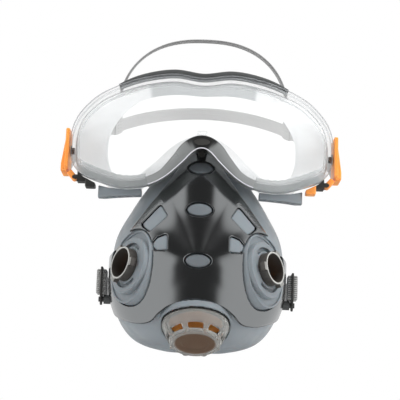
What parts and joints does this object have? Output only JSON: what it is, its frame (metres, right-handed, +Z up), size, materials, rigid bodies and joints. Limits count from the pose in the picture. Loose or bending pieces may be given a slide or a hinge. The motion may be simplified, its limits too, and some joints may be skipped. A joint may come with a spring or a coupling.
{
  "type": "half-mask respirator with goggles",
  "caption": "Elastomeric half-mask respirator with bayonet filter ports, a twist-off exhalation cap, clip-on wide-view goggles and head and neck straps.",
  "frame": {"origin": "middle of the cheek seal, where the half mask meets the face", "axes": "+Z up towards the goggles, -Y forward out of the mask, +X to the viewer's right from the front; +Y goes into the wearer's face"},
  "size_m": [0.1964, 0.2301, 0.2624],
  "materials": {
    "mask_silicone": "soft matt silicone, light blue-grey",
    "cover_plastic": "gunmetal satin-gloss moulding",
    "dark_plastic": "near-black moulded plastic",
    "valve_silicone": "thin orange silicone",
    "smoke_plastic": "smoky transparent plastic",
    "clear_plastic": "clear polished polycarbonate",
    "skirt_silicone": "milky translucent silicone",
    "webbing": "woven grey elastic webbing",
    "orange_plastic": "orange moulded plastic",
    "strap_silicone": "grey silicone strap"
  },
  "bodies": {
    "half_mask": {"facepiece": "mask_silicone", "front_cover": "cover_plastic", "port_boss_left": "mask_silicone", "port_boss_right": "mask_silicone", "filter_port_left": "dark_plastic", "filter_port_right": "dark_plastic", "port_nut_left": "dark_plastic", "port_nut_right": "dark_plastic", "inhalation_seat_left": "dark_plastic", "inhalation_seat_right": "dark_plastic", "exhalation_collar": "cover_plastic", "exhalation_seat": "dark_plastic", "nose_peg": "dark_plastic", "buckle_mount_left": "cover_plastic", "buckle_mount_right": "cover_plastic"},
    "inhalation_flap_left": {"inhalation_flap_left": "valve_silicone"},
    "inhalation_flap_right": {"inhalation_flap_right": "valve_silicone"},
    "exhalation_flap": {"exhalation_flap": "valve_silicone"},
    "exhalation_cap": {"exhalation_cap": "smoke_plastic"},
    "neck_harness": {"buckle_left": "dark_plastic", "buckle_right": "dark_plastic", "webbing_end_left": "webbing", "webbing_end_right": "webbing", "neck_strap": "webbing"},
    "goggles": {"lens": "clear_plastic", "lens_frame": "clear_plastic", "brow_bar": "cover_plastic", "nose_bridge": "cover_plastic", "goggle_skirt": "skirt_silicone", "vent_bar_left": "mask_silicone", "vent_bar_right": "mask_silicone", "latch_housing_left": "dark_plastic", "latch_housing_right": "dark_plastic", "side_tab_left": "dark_plastic", "side_tab_right": "orange_plastic", "clip_pivot_left": "dark_plastic", "clip_pivot_right": "dark_plastic", "latch_pin_left": "dark_plastic", "latch_pin_right": "dark_plastic"},
    "lens_latch_left": {"lens_latch_left": "orange_plastic"},
    "lens_latch_right": {"lens_latch_right": "orange_plastic"},
    "head_harness": {"strap_clip_left": "orange_plastic", "strap_clip_right": "orange_plastic", "strap_keeper_left": "strap_silicone", "strap_keeper_right": "strap_silicone", "rear_strap": "strap_silicone", "crown_strap": "strap_silicone"}
  },
  "joints": [
    {"name": "inhalation_left", "type": "slide", "parent": "half_mask", "child": "inhalation_flap_left", "axis": [0.8103, 0.5592, -0.1751], "range_m": [0, 0.0012], "stiffness_N_per_m": 20, "springref_m": -0.001},
    {"name": "inhalation_right", "type": "slide", "parent": "half_mask", "child": "inhalation_flap_right", "axis": [-0.8103, 0.5592, -0.1751], "range_m": [0, 0.0012], "stiffness_N_per_m": 20, "springref_m": -0.001},
    {"name": "exhalation", "type": "slide", "parent": "half_mask", "child": "exhalation_flap", "axis": [0, -0.4202, -0.9074], "range_m": [0, 0.0015], "stiffness_N_per_m": 40, "springref_m": -0.001},
    {"name": "cap_twist", "type": "hinge", "parent": "half_mask", "child": "exhalation_cap", "pos_m": [0, -0.051, -0.0505], "axis": [0, -0.4202, -0.9074], "range_deg": [0, 45]},
    {"name": "neck_swing", "type": "hinge", "parent": "half_mask", "child": "neck_harness", "pos_m": [0, -0.01, -0.033], "axis": [1, 0, 0], "range_deg": [-25, 20]},
    {"name": "goggles_lift", "type": "slide", "parent": "half_mask", "child": "goggles", "axis": [0, 0, 1], "range_m": [0, 0.03]},
    {"name": "latch_left", "type": "hinge", "parent": "goggles", "child": "lens_latch_left", "pos_m": [-0.0886, -0.01, 0.0515], "axis": [0, -1, 0], "range_deg": [0, 20]},
    {"name": "latch_right", "type": "hinge", "parent": "goggles", "child": "lens_latch_right", "pos_m": [0.0886, -0.01, 0.0515], "axis": [0, 1, 0], "range_deg": [0, 20]},
    {"name": "head_swing", "type": "hinge", "parent": "goggles", "child": "head_harness", "pos_m": [0, -0.003, 0.072], "axis": [1, 0, 0], "range_deg": [-35, 4]}
  ]
}
